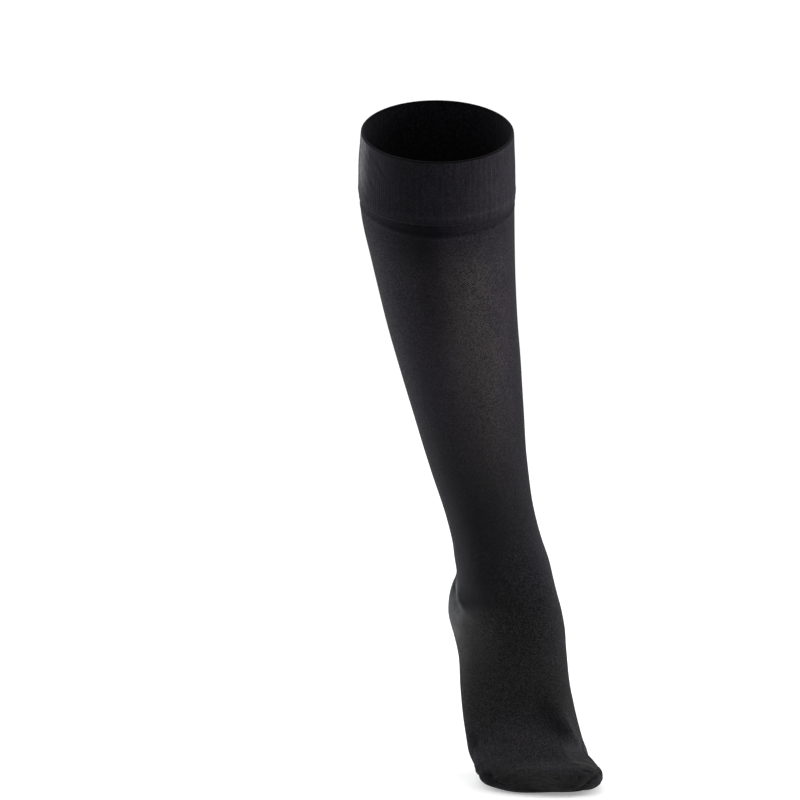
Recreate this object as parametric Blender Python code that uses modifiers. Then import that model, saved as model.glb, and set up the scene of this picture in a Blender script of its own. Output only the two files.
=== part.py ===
"""Knee-high compression stocking, closed toe, in the form it has when it is worn
on a right leg with the heel raised: a thin hollow knit tube, open at the top.

Sizes are given in millimetres, measured as a fitter would: "up" from the floor
that the toes rest on, "fwd" towards the toes from the ball of the foot, and
"side" towards the big-toe side. The model itself is in metres, +Z up, toes
towards -Y, big-toe side towards +X, with its origin at the centre of the band
that grips the calf.
"""

import math

import bmesh
import bpy
import numpy as np
from mathutils import Vector

MM = 0.001

# ---------------------------------------------------------------- driving sizes
NAME = "compression_stocking"
BAND_HEIGHT = 52.0      # double-layer elastic band, top fold to lower edge, at the sides
BAND_EDGE_MEAN = 50.5   # mean length down to the band's lower edge
BAND_EDGE_DIP = 5.0     # how much further down it is where it dips most
BAND_EDGE_TURN = 25.0   # where that is: degrees from the front to the big-toe side
LEVEL_FROM = 110.0      # length at which the leg's rings are level again
BAND_PROUD = 0.6        # how far the band stands out from the leg
BAND_WALL = 2.0         # two layers of ribbed knit
BAND_EDGE = 0.5         # rounding of the band's edges
LEG_WALL = 1.2          # plain knit of the leg and foot
POCKET_WALL = 1.4       # denser knit of heel pocket and toe cap
SEAM_GAP = 0.3          # clear space where two pieces meet
TOE_GAP = 0.37          # the same at the toe, in side view: still 0.3 on the arch's slopes
WALES = 36              # points round each ring
REACH = 600.0           # size of the region cutters, past the whole stocking

# The leg, from the band's top fold to just above the heel. Each row is one ring:
# its centre, the slope of its front edge (tip, degrees down), the slope of its
# big-toe side (roll, degrees up), its half width and half depth, and how much
# wider it is in front than behind (egg, a share of the half width).
LEG_COLUMNS = ("up", "fwd", "side", "tip", "roll", "half_w", "half_d", "egg")
LEG = (
    (471.5, 24.0, -77.0, 17.0, 8.0, 53.0, 57.5, 0.00),   # top fold of the band
    (445.0, 16.0, -74.0, 12.5, 8.0, 54.5, 57.5, 0.00),   # middle of the band
    (418.5, 8.5, -70.0, 10.5, 9.0, 54.5, 57.0, 0.00),    # just under the band
    (383.5, 0.0, -62.0, 9.5, 12.0, 51.0, 55.0, 0.00),    # fullest part of the calf
    (343.0, -7.0, -53.0, 9.5, 13.5, 47.0, 52.0, 0.00),
    (303.0, -13.5, -43.0, 9.5, 14.0, 42.8, 47.8, 0.00),
    (264.0, -20.0, -33.0, 9.5, 14.5, 38.5, 44.0, 0.02),
    (225.5, -26.5, -23.0, 9.8, 15.0, 34.0, 41.2, 0.06),
    (192.5, -30.8, -13.8, 10.2, 15.0, 30.8, 39.6, 0.12), # narrowest, above the ankle
    (164.5, -33.8, -5.6, 10.4, 14.5, 31.0, 39.4, 0.17),
    (149.5, -36.8, -0.4, 10.8, 12.5, 32.3, 42.0, 0.18),
)
# The ankle, heel and instep. The rings fan round the front of the ankle.
HEEL_COLUMNS = LEG_COLUMNS
HEEL = (
    (137.0, -42.8, 3.4, 7.9, 10.0, 33.5, 48.8, 0.14),
    (125.0, -47.8, 6.0, 2.2, 7.5, 35.4, 55.2, 0.07),     # back of the heel
    (112.5, -47.4, 7.8, -2.3, 4.5, 37.6, 55.8, 0.02),
    (100.0, -40.8, 8.4, -5.3, 1.0, 38.7, 49.6, 0.00),    # base of the heel
    (84.5, -27.6, 6.0, -9.2, -1.0, 39.4, 37.6, -0.04),
)
# The foot and toe. Here a ring's front half is the top of the foot and its back
# half the sole. Yaw turns the ring so that the big-toe side leads, and the two
# roundness figures square off its top and its sole (2 is an ellipse).
FOOT_COLUMNS = LEG_COLUMNS + ("yaw", "round_top", "round_sole")
FOOT = (
    (65.5, -13.3, 2.4, -16.0, -0.5, 40.6, 26.2, -0.10, 3.0, 2.0, 2.1),
    (39.8, -0.6, 1.8, -34.8, 0.0, 41.0, 21.2, -0.16, 6.0, 2.0, 2.3),
    (19.8, 11.2, 2.8, -51.0, 0.0, 41.0, 19.8, -0.16, 10.0, 2.1, 2.5),  # ball
    (14.4, 24.0, 1.6, -63.0, 0.0, 41.2, 15.2, -0.15, 13.0, 2.2, 2.7),
    (11.4, 39.4, -1.4, -72.5, 0.0, 41.4, 12.0, -0.14, 16.0, 2.3, 3.0),
    (9.9, 54.4, -3.0, -78.5, 0.0, 37.8, 10.0, -0.12, 18.0, 2.3, 2.9),
    (9.4, 65.4, -1.0, -81.0, 0.0, 29.5, 8.8, -0.08, 19.0, 2.2, 2.6),
    (9.2, 72.6, 2.8, -83.0, 0.0, 18.5, 7.0, 0.00, 20.0, 2.1, 2.3),
)
TOE_END = (9.0, 76.8, 5.0)          # up, fwd, side of the middle of the toe's end

# Ring spacing along the tube, down to the stated length from the band's top fold.
SPACING_COLUMNS = ("to_length", "step")
SPACING = ((300.0, 15.0), (470.0, 10.0), (600.0, 6.5))

# Gore lines, seen from the big-toe side as (fwd, up). Each starts at the point
# where the knitting turns, and runs across to the other side of the stocking.
HEEL_POINT = (-38.5, 130.5)         # where the two heel gores meet
HEEL_GORE_BACK = (-47.2, 9.3)       # direction, to the back of the heel
HEEL_GORE_SOLE = (-26.5, -33.7)     # direction, to the sole
ANKLE_LINE = (60.0, -6.0)           # direction, over the instep
HEEL_ACROSS = (40.0, 0.06, 0.10)    # side of the heel point; rise in fwd and up per side
TOE_POINT = (20.2, 26.7)            # where the toe gore starts, beside the ball
TOE_GORE_TIP = (55.8, -14.0)        # direction, forward round the tip
TOE_GORE_SOLE = (-16.0, -24.0)      # direction, under the ball
TOE_ACROSS = (37.0, 0.10, 0.13)     # side of the toe point; rise in fwd and up per side
# How the toe gore rides over the toes: (side, mm up), lowest over the small toes
# and highest over the big toe.
ARCH_COLUMNS = ("side", "up")
TOE_ARCH = ((-50.0, 0.0), (-38.0, 0.0), (-35.0, -1.5), (-31.0, -3.2), (-26.0, -3.7),
            (-10.0, -3.7), (2.0, -4.0), (7.0, -3.2), (11.0, -1.0), (15.0, 2.0),
            (19.0, 3.8), (24.0, 2.2), (29.0, 0.3), (33.0, -1.5), (38.0, 0.0), (50.0, 0.0))

COLOURS = {
    "band_knit": (0.012, 0.012, 0.014, 1.0),
    "leg_knit": (0.017, 0.017, 0.019, 1.0),
    "pocket_knit": (0.009, 0.009, 0.010, 1.0),
}
ROUGHNESS = {"band_knit": 0.85, "leg_knit": 0.75, "pocket_knit": 0.9}


# ---------------------------------------------------------------- the tube's form
def all_rows():
    """Every ring of the three tables with one set of columns."""
    plain = {"yaw": 0.0, "round_top": 2.0, "round_sole": 2.0}
    rows = []
    for columns, table in ((LEG_COLUMNS, LEG), (HEEL_COLUMNS, HEEL), (FOOT_COLUMNS, FOOT)):
        for row in table:
            ring = dict(plain)
            ring.update(zip(columns, row))
            rows.append([ring[c] for c in FOOT_COLUMNS])
    return np.array(rows, float)


ROWS = all_rows()
COL = {name: i for i, name in enumerate(FOOT_COLUMNS)}


def lengths_along(rows):
    """Length down the tube's middle line to each row."""
    centres = rows[:, [COL["side"], COL["fwd"], COL["up"]]]
    steps = np.linalg.norm(np.diff(centres, axis=0), axis=1)
    return np.concatenate([[0.0], np.cumsum(steps)])


AT = lengths_along(ROWS)


def slopes():
    """Rate of change of every column at each row, for a smooth curve through them."""
    chord = np.diff(ROWS, axis=0) / np.diff(AT)[:, None]
    rate = np.empty_like(ROWS)
    rate[0], rate[-1] = chord[0], chord[-1]
    before, after = np.diff(AT)[:-1, None], np.diff(AT)[1:, None]
    rate[1:-1] = (chord[:-1] * after + chord[1:] * before) / (before + after)
    return rate


RATE = slopes()


def section_at(length):
    """All columns at a length down the tube: cubic pieces with matched slopes."""
    i = int(np.clip(np.searchsorted(AT, length) - 1, 0, len(AT) - 2))
    span = AT[i + 1] - AT[i]
    t = (length - AT[i]) / span
    h00, h10 = 2 * t**3 - 3 * t**2 + 1, t**3 - 2 * t**2 + t
    h01, h11 = -2 * t**3 + 3 * t**2, t**3 - t**2
    return h00 * ROWS[i] + h10 * span * RATE[i] + h01 * ROWS[i + 1] + h11 * span * RATE[i + 1]


def grip_centre():
    """The middle of the band, half way down it: up, fwd, side."""
    ring = section_at(BAND_HEIGHT / 2)
    return ring[COL["up"]], ring[COL["fwd"]], ring[COL["side"]]


GRIP_UP, GRIP_FWD, GRIP_SIDE = grip_centre()


def world(up, fwd, side):
    """From a fitter's millimetres to the model's metres."""
    return Vector(((side - GRIP_SIDE) * MM, -(fwd - GRIP_FWD) * MM, (up - GRIP_UP) * MM))


def band_edge(turn):
    """Length down to the band's lower edge at a turn: it dips at the inner front."""
    return BAND_EDGE_MEAN + BAND_EDGE_DIP * math.cos(turn - math.radians(BAND_EDGE_TURN))


def in_band(length, turn):
    """A level length within the band, shared out down to the slanting lower edge."""
    return length * band_edge(turn) / BAND_HEIGHT


def in_leg(length, turn):
    """A level length below the band, slanted like its edge and easing back to level."""
    t = min(1.0, max(0.0, (length - BAND_HEIGHT) / (LEVEL_FROM - BAND_HEIGHT)))
    return length + (1 - t * t * (3 - 2 * t)) * (band_edge(turn) - BAND_HEIGHT)


def ring_points(length, proud=0.0, slant=in_leg):
    """The ring of points at a length down the tube, moved out by proud."""
    points = []
    for k in range(WALES):
        turn = 2 * math.pi * k / WALES
        r = dict(zip(FOOT_COLUMNS, section_at(slant(length, turn))))
        tip, roll, yaw = (math.radians(r[k]) for k in ("tip", "roll", "yaw"))
        ahead = np.array((-math.sin(tip), math.cos(tip), 0.0))             # up, fwd, side
        across = np.array((math.sin(roll), math.sin(yaw), math.cos(roll) * math.cos(yaw)))
        centre = np.array((r["up"], r["fwd"], r["side"]))
        half_w, half_d = r["half_w"] + proud, r["half_d"] + proud
        c, s = math.cos(turn), math.sin(turn)
        power = 2.0 / (r["round_top"] if c >= 0 else r["round_sole"])
        c = math.copysign(abs(c) ** power, c)
        s = math.copysign(abs(s) ** power, s)
        p = centre + ahead * (c * half_d) + across * (s * half_w * (1 + r["egg"] * c))
        points.append(world(*p))
    return points


def stations(start, end):
    """Lengths of the rings from start to end, closer together towards the toe."""
    out, here = [start], start
    for limit, step in SPACING:
        stop = min(limit, end)
        if stop <= here:
            continue
        count = max(1, round((stop - here) / step))
        out += [here + (stop - here) * k / count for k in range(1, count + 1)]
        here = stop
    return out


# ---------------------------------------------------------------- building pieces
def fresh_scene():
    for ob in list(bpy.data.objects):
        bpy.data.objects.remove(ob, do_unlink=True)


def material(slot):
    m = bpy.data.materials.new(slot)
    m.use_nodes = True
    shader = m.node_tree.nodes["Principled BSDF"]
    shader.inputs["Base Color"].default_value = COLOURS[slot]
    shader.inputs["Roughness"].default_value = ROUGHNESS[slot]
    shader.inputs["Metallic"].default_value = 0.0
    m.diffuse_color = COLOURS[slot]
    return m


def lofted(rings, end_point=None):
    """An open surface through rings of equal count, closed by one point if given."""
    bm = bmesh.new()
    loops = [[bm.verts.new(p) for p in ring] for ring in rings]
    for upper, lower in zip(loops, loops[1:]):
        for k in range(WALES):
            n = (k + 1) % WALES
            bm.faces.new((upper[k], lower[k], lower[n], upper[n]))
    if end_point is not None:
        end = bm.verts.new(end_point)
        for k in range(WALES):
            bm.faces.new((loops[-1][k], end, loops[-1][(k + 1) % WALES]))
    bm.normal_update()
    return bm


def wedge_outline(point, first, second, grow):
    """The side-view region between two directions from a point, grown all round."""
    d1, d2 = Vector(first).normalized(), Vector(second).normalized()
    middle = (d1 + d2).normalized()
    half = d1.angle(d2) / 2
    corner = Vector(point) - middle * (grow / math.sin(half))
    return [corner, corner + d1 * REACH, corner + d1 * REACH + middle * REACH,
            corner + d2 * REACH + middle * REACH, corner + d2 * REACH]


def add_cutter(name, outline, across, collection, arch=()):
    """A solid right across the stocking: the side-view outline, swept through the
    stations of the arch from one side to the other."""
    side, fwd_rise, up_rise = across
    ends = [(-REACH, 0.0)] + list(arch) + [(REACH, 0.0)]
    bm = bmesh.new()
    loops = [[bm.verts.new(world(p.y + up_rise * (at - side) + rise,
                                 p.x + fwd_rise * (at - side), at)) for p in outline]
             for at, rise in ends]
    for near, far in zip(loops, loops[1:]):
        for k in range(len(outline)):
            n = (k + 1) % len(outline)
            bm.faces.new((near[k], far[k], far[n], near[n]))
    bm.faces.new(loops[0])
    bm.faces.new(loops[-1])
    bmesh.ops.recalc_face_normals(bm, faces=bm.faces)
    mesh = bpy.data.meshes.new(name)
    bm.to_mesh(mesh)
    bm.free()
    ob = bpy.data.objects.new(name, mesh)
    ob.hide_render = True
    ob.display_type = "WIRE"
    collection.objects.link(ob)
    return ob


def add_piece(name, bm, wall, slot, parent, collection, inside=None, outside=(), edge=0.0):
    """A wall on a surface, kept inside one cutter and cleared of the others."""
    mesh = bpy.data.meshes.new(name)
    bm.to_mesh(mesh)
    bm.free()
    mesh.materials.append(slot)
    mesh.shade_smooth()
    ob = bpy.data.objects.new(name, mesh)
    collection.objects.link(ob)
    ob.parent = parent
    solid = ob.modifiers.new("wall", "SOLIDIFY")
    solid.thickness = wall * MM
    solid.offset = -1.0
    solid.use_even_offset = True
    solid.use_rim = True
    if edge:
        bevel = ob.modifiers.new("edge", "BEVEL")
        bevel.width = edge * MM
        bevel.segments = 2
        bevel.limit_method = "ANGLE"
        bevel.angle_limit = math.radians(60)
    for cutter, how in [(inside, "INTERSECT")] + [(c, "DIFFERENCE") for c in outside]:
        if cutter is not None:
            cut = ob.modifiers.new(how.lower(), "BOOLEAN")
            cut.operation = how
            cut.solver = "EXACT"
            cut.object = cutter
    return ob


def build():
    fresh_scene()
    collection = bpy.data.collections.new(NAME)
    cutters = bpy.data.collections.new(NAME + "_cutters")
    bpy.context.scene.collection.children.link(collection)
    bpy.context.scene.collection.children.link(cutters)
    held = bpy.data.objects.new("calf_grip", None)
    held.empty_display_size = 0.05
    collection.objects.link(held)
    slots = {name: material(name) for name in COLOURS}

    band = lofted([ring_points(s, BAND_PROUD, in_band) for s in stations(0.0, BAND_HEIGHT)])
    add_piece("top_band", band, BAND_WALL, slots["band_knit"], held, collection,
              edge=BAND_EDGE)

    regions = {"leg": (HEEL_POINT, ANKLE_LINE, HEEL_GORE_BACK, HEEL_ACROSS, (), SEAM_GAP),
               "heel_pocket": (HEEL_POINT, HEEL_GORE_BACK, HEEL_GORE_SOLE, HEEL_ACROSS, (), SEAM_GAP),
               "toe_cap": (TOE_POINT, TOE_GORE_SOLE, TOE_GORE_TIP, TOE_ACROSS, TOE_ARCH, TOE_GAP)}
    fits, clears = {}, []
    for name, (point, first, second, across, arch, gap) in regions.items():
        tight = wedge_outline(point, first, second, -gap / 2)
        wide = wedge_outline(point, first, second, gap / 2)
        fits[name] = add_cutter(name + "_fit", tight, across, cutters, arch)
        clears.append(add_cutter(name + "_clear", wide, across, cutters, arch))

    rings = [ring_points(s) for s in stations(BAND_HEIGHT + SEAM_GAP, AT[-1])]
    for name, wall, slot in (("leg", LEG_WALL, "leg_knit"),
                             ("heel_pocket", POCKET_WALL, "pocket_knit"),
                             ("toe_cap", POCKET_WALL, "pocket_knit")):
        add_piece(name, lofted(rings, world(*TOE_END)), wall, slots[slot], held, collection,
                  inside=fits[name])
    add_piece("foot", lofted(rings, world(*TOE_END)), LEG_WALL, slots["leg_knit"], held,
              collection, outside=clears)


build()
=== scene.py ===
"""Looks of a knee-high compression stocking in its worn form: a fine knit tube of
real wall thickness with a ribbed top band, a reciprocated heel pocket, a closed
toe cap, stitched gore lines, soft creases and a procedural knit, around the
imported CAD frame. Lengths in the tables are millimetres; the model is in metres.
"""
import math

import bmesh
import bpy
import numpy as np
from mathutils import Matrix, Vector

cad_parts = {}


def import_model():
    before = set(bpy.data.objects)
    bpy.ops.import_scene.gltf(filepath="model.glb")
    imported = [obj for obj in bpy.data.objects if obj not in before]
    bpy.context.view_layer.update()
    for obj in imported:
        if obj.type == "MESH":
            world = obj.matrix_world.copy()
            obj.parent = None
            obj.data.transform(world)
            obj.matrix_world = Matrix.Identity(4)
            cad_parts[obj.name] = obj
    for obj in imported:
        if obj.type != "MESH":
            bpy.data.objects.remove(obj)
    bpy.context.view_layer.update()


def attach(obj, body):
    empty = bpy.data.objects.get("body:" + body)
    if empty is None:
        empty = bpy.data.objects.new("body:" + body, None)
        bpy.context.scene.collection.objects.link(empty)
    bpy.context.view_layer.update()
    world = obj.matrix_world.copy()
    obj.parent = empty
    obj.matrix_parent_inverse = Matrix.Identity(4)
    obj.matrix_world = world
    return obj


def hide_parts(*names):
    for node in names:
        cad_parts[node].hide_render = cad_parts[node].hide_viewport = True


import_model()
MM = 0.001

# ---------------------------------------------------------------- the tube's form
# Rings from the band's top fold to the toe: centre (up, fwd, side), slope of the
# front edge (tip), slope of the big-toe side (roll), half width, half depth, how
# much wider in front than behind (egg), turn of the ring (yaw), roundness on top
# and on the sole.
COLUMNS = ("up", "fwd", "side", "tip", "roll", "half_w", "half_d", "egg",
           "yaw", "round_top", "round_sole")
LEG = (
    (471.5, 24.0, -77.0, 17.0, 8.0, 53.0, 57.5, 0.00),
    (445.0, 16.0, -74.0, 12.5, 8.0, 54.5, 57.5, 0.00),
    (418.5, 8.5, -70.0, 10.5, 9.0, 54.5, 57.0, 0.00),
    (383.5, 0.0, -62.0, 9.5, 12.0, 51.0, 55.0, 0.00),
    (343.0, -7.0, -53.0, 9.5, 13.5, 47.0, 52.0, 0.00),
    (303.0, -13.5, -43.0, 9.5, 14.0, 42.8, 47.8, 0.00),
    (264.0, -20.0, -33.0, 9.5, 14.5, 38.5, 44.0, 0.02),
    (225.5, -26.5, -23.0, 9.8, 15.0, 34.0, 41.2, 0.06),
    (192.5, -30.8, -13.8, 10.2, 15.0, 30.8, 39.6, 0.12),
    (164.5, -33.8, -5.6, 10.4, 14.5, 31.0, 39.4, 0.17),
    (149.5, -36.8, -0.4, 10.8, 12.5, 32.3, 42.0, 0.18),
    (137.0, -42.8, 3.4, 7.9, 10.0, 33.5, 48.8, 0.14),
    (125.0, -47.8, 6.0, 2.2, 7.5, 35.4, 55.2, 0.07),
    (112.5, -47.4, 7.8, -2.3, 4.5, 37.6, 55.8, 0.02),
    (100.0, -40.8, 8.4, -5.3, 1.0, 38.7, 49.6, 0.00),
    (84.5, -27.6, 6.0, -9.2, -1.0, 39.4, 37.6, -0.04),
)
FOOT = (
    (65.5, -13.3, 2.4, -16.0, -0.5, 40.6, 26.2, -0.10, 3.0, 2.0, 2.1),
    (39.8, -0.6, 1.8, -34.8, 0.0, 41.0, 21.2, -0.16, 6.0, 2.0, 2.3),
    (19.8, 11.2, 2.8, -51.0, 0.0, 41.0, 19.8, -0.16, 10.0, 2.1, 2.5),
    (14.4, 24.0, 1.6, -63.0, 0.0, 41.2, 15.2, -0.15, 13.0, 2.2, 2.7),
    (11.4, 39.4, -1.4, -72.5, 0.0, 41.4, 12.0, -0.14, 16.0, 2.3, 3.0),
    (9.9, 54.4, -3.0, -78.5, 0.0, 37.8, 10.0, -0.12, 18.0, 2.3, 2.9),
    (9.4, 65.4, -1.0, -81.0, 0.0, 29.5, 8.8, -0.08, 19.0, 2.2, 2.6),
    (9.2, 72.6, 2.8, -83.0, 0.0, 18.5, 7.0, 0.00, 20.0, 2.1, 2.3),
)
TOE_END = (9.0, 76.8, 5.0)
BAND_HEIGHT = 52.0

ROWS = np.array([list(r) + [0.0, 2.0, 2.0] for r in LEG] + [list(r) for r in FOOT], float)
AT = np.concatenate([[0.0], np.cumsum(np.linalg.norm(np.diff(ROWS[:, :3], axis=0), axis=1))])
CHORD = np.diff(ROWS, axis=0) / np.diff(AT)[:, None]
RATE = np.empty_like(ROWS)
RATE[0], RATE[-1] = CHORD[0], CHORD[-1]
_b, _a = np.diff(AT)[:-1, None], np.diff(AT)[1:, None]
RATE[1:-1] = (CHORD[:-1] * _a + CHORD[1:] * _b) / (_b + _a)
TOE_DOME = float(np.linalg.norm(np.array(TOE_END) - ROWS[-1, :3]))
LENGTH = AT[-1] + TOE_DOME


def sections(s):
    """The ring columns at each length s (any shape): cubic pieces, matched slopes."""
    s = np.minimum(np.asarray(s, float), AT[-1])
    i = np.clip(np.searchsorted(AT, s) - 1, 0, len(AT) - 2)
    span = (AT[i + 1] - AT[i])[..., None]
    t = (s[..., None] - AT[i][..., None]) / span
    h00, h10 = 2 * t**3 - 3 * t**2 + 1, t**3 - 2 * t**2 + t
    h01, h11 = -2 * t**3 + 3 * t**2, t**3 - t**2
    return h00 * ROWS[i] + h10 * span * RATE[i] + h01 * ROWS[i + 1] + h11 * span * RATE[i + 1]


GRIP = sections(BAND_HEIGHT / 2)[:3]


def world(q):
    """From (up, fwd, side) millimetres to the model's metres."""
    q = np.asarray(q, float)
    return np.stack([q[..., 2] - GRIP[2], -(q[..., 1] - GRIP[1]), q[..., 0] - GRIP[0]], -1) * MM


def fitter(p):
    """From the model's metres to (up, fwd, side) millimetres."""
    p = np.asarray(p, float) / MM
    return np.stack([p[..., 2] + GRIP[0], -p[..., 1] + GRIP[1], p[..., 0] + GRIP[2]], -1)


def signed_power(x, power):
    return np.sign(x) * np.abs(x) ** power


def tube(s, turn, proud=0.0):
    """Points of the tube at lengths s (mm) and turns (radians, 0 in front, towards
    the big-toe side), moved out by proud (mm). Past the last ring the end rounds off."""
    s, turn = np.broadcast_arrays(np.asarray(s, float), np.asarray(turn, float))
    r = sections(s)
    up, fwd, side, tip, roll, half_w, half_d, egg, yaw, r_top, r_sole = np.moveaxis(r, -1, 0)
    tip, roll, yaw = np.radians(tip), np.radians(roll), np.radians(yaw)
    past = np.clip((s - AT[-1]) / TOE_DOME, 0, 1)
    centre = np.stack([up, fwd, side], -1)
    centre = centre + past[..., None] * (np.array(TOE_END) - centre)
    half_w = (half_w + proud) * np.sqrt(np.clip((1 - past) * (1 + 0.354 * past), 0, None))
    half_d = (half_d + proud) * np.sqrt(np.clip((1 - past) * (1 + 0.72 * past), 0, None))
    ahead = np.stack([-np.sin(tip), np.cos(tip), np.zeros_like(tip)], -1)
    across = np.stack([np.sin(roll), np.sin(yaw), np.cos(roll) * np.cos(yaw)], -1)
    c, q = np.cos(turn), np.sin(turn)
    power = 2.0 / np.where(c >= 0, r_top, r_sole)
    c, q = signed_power(c, power), signed_power(q, power)
    p = centre + ahead * (c * half_d)[..., None] + across * (q * half_w * (1 + egg * c))[..., None]
    return world(p)


def ring_radius(s):
    """Mean radius (mm) of the ring at s, for distances round the tube."""
    r = sections(s)
    return np.sqrt((r[..., 5] ** 2 + r[..., 6] ** 2) / 2)


def normals_of(grid, sign=1.0):
    """Outward normals of a grid of points (rings x turns, closed round)."""
    du = np.roll(grid, -1, 1) - np.roll(grid, 1, 1)
    ds = np.gradient(grid, axis=0)
    n = np.cross(du, ds)
    n /= np.linalg.norm(n, axis=-1, keepdims=True) + 1e-15
    out = grid - grid.mean(axis=1, keepdims=True)
    flip = np.sign(np.sum(n * out, axis=(1, 2)))
    return n * np.where(flip == 0, 1, flip)[:, None, None] * sign


def smooth(x, low, high):
    t = np.clip((np.asarray(x, float) - low) / (high - low), 0, 1)
    return t * t * (3 - 2 * t)


def bell(x, width):
    return np.exp(-(np.asarray(x, float) / width) ** 2)


# ---------------------------------------------------------------- band's lower edge
def band_edge(turn):
    """Length of the band's lower edge: it dips in front, towards the big-toe side."""
    return 50.5 + 5.0 * np.cos(turn - math.radians(25))


def strip_width(turn):
    """Width of the narrow turned strip below the band, widest in front."""
    return 3.2 + 4.6 * np.clip(np.cos(turn - math.radians(345)), 0, 1) ** 2


# ---------------------------------------------------------------- creases
# Each crease is a soft trough (negative depth) or ridge that runs through three
# places on the tube, given as (length, turn in degrees). It is deepest in the
# middle and dies out at both ends. Width and depth are millimetres.
CREASE_COLUMNS = ("s0", "turn0", "s1", "turn1", "s2", "turn2", "width", "depth")
BODY_CREASES = (
    # the fold between ankle and heel, little-toe side: lip in front, hollow behind
    (336.0, 246.0, 357.0, 266.0, 373.0, 300.0, 2.4, 0.50),
    (334.0, 222.0, 359.0, 252.0, 381.0, 292.0, 4.2, -4.60),
    (348.0, 228.0, 357.0, 231.0, 366.0, 238.0, 5.0, -1.00),
    (314.0, 240.0, 330.0, 250.0, 344.0, 258.0, 7.0, 0.90),
    (374.0, 272.0, 383.0, 292.0, 387.0, 312.0, 5.0, -0.60),
    # the same on the big-toe side, shorter
    (344.0, 112.0, 354.0, 98.0, 366.0, 76.0, 4.0, 0.95),
    (347.0, 122.0, 360.0, 106.0, 373.0, 84.0, 4.2, -1.50),
    # hook at the point of the heel gores, big-toe side
    (357.0, 112.0, 362.0, 100.0, 368.0, 97.0, 1.8, -0.70),
    # slack ripples behind the ankle, over the heel cord
    (317.0, 158.0, 320.0, 180.0, 324.0, 204.0, 2.6, -0.50),
    (326.0, 172.0, 328.0, 194.0, 333.0, 216.0, 2.2, -0.45),
    (308.0, 186.0, 310.0, 202.0, 311.0, 216.0, 2.4, -0.32),
    (334.0, 150.0, 335.0, 166.0, 339.0, 186.0, 2.1, -0.38),
    (341.0, 190.0, 342.0, 206.0, 346.0, 222.0, 2.0, -0.34),
    # the bend in front of the ankle
    (351.0, 322.0, 356.0, 352.0, 357.0, 24.0, 6.5, -0.55),
    (366.0, 336.0, 369.0, 2.0, 368.0, 36.0, 4.6, -0.40),
    (377.0, 312.0, 376.0, 330.0, 372.0, 350.0, 4.0, -0.30),
    # the hollow beside the big toe's tendon, and the ridge at its inner edge
    (446.0, 4.0, 478.0, 17.0, 497.0, 36.0, 8.5, -1.70),
    (462.0, 42.0, 482.0, 50.0, 498.0, 54.0, 3.0, 1.15),
    (425.0, 352.0, 455.0, 354.0, 478.0, 350.0, 8.0, 0.55),
    # the dent above the little toes and the pinch at the outer edge
    (466.0, 276.0, 478.0, 278.0, 486.0, 288.0, 5.0, -1.25),
    (484.0, 270.0, 488.0, 253.0, 492.0, 238.0, 3.4, -1.70),
    (497.0, 264.0, 501.0, 251.0, 505.0, 238.0, 3.6, 1.00),
    (521.0, 268.0, 527.0, 274.0, 533.0, 279.0, 1.5, -1.10),
    # shallow valleys between the toes
    (503.0, 6.0, 518.0, 10.0, 536.0, 14.0, 3.2, -0.42),
    (505.0, 342.0, 518.0, 342.0, 533.0, 344.0, 3.0, -0.36),
    (507.0, 320.0, 518.0, 316.0, 529.0, 314.0, 2.8, -0.34),
    # ridge and hollow at the end of the big toe
    (531.0, 22.0, 529.5, 47.0, 538.0, 70.0, 2.4, 1.35),
    (540.0, 24.0, 542.0, 44.0, 547.0, 62.0, 3.4, -1.10),
    (515.0, 52.0, 524.0, 62.0, 534.0, 78.0, 4.6, 1.10),
    (520.0, 74.0, 529.0, 82.0, 538.0, 92.0, 4.5, 1.30),
    # tucks at the little toe
    (520.0, 285.0, 527.0, 276.0, 534.0, 268.0, 2.0, -1.25),
    (508.0, 264.0, 521.0, 257.0, 535.0, 248.0, 5.5, 0.90),
    (538.0, 306.0, 542.0, 318.0, 545.0, 332.0, 2.4, -0.40),
    # under the arch and the toes
    (405.0, 160.0, 409.0, 178.0, 414.0, 198.0, 3.4, -0.42),
    (421.0, 168.0, 424.0, 190.0, 429.0, 214.0, 3.0, -0.36),
    (437.0, 148.0, 438.0, 168.0, 441.0, 190.0, 3.2, -0.30),
    (500.0, 158.0, 501.0, 182.0, 503.0, 206.0, 3.6, -0.40),
    (511.0, 170.0, 513.0, 196.0, 515.0, 222.0, 3.0, -0.34),
    # heel pocket
    (380.0, 206.0, 386.0, 222.0, 388.0, 240.0, 3.2, -0.45),
    (372.0, 118.0, 379.0, 106.0, 382.0, 92.0, 3.0, -0.45),
    (386.0, 168.0, 390.0, 184.0, 393.0, 204.0, 3.4, -0.30),
    # just below the band, back and inside
    (59.0, 168.0, 62.0, 190.0, 66.0, 214.0, 3.2, -0.35),
    (62.0, 112.0, 67.0, 126.0, 70.0, 140.0, 3.0, -0.30),
)
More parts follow.
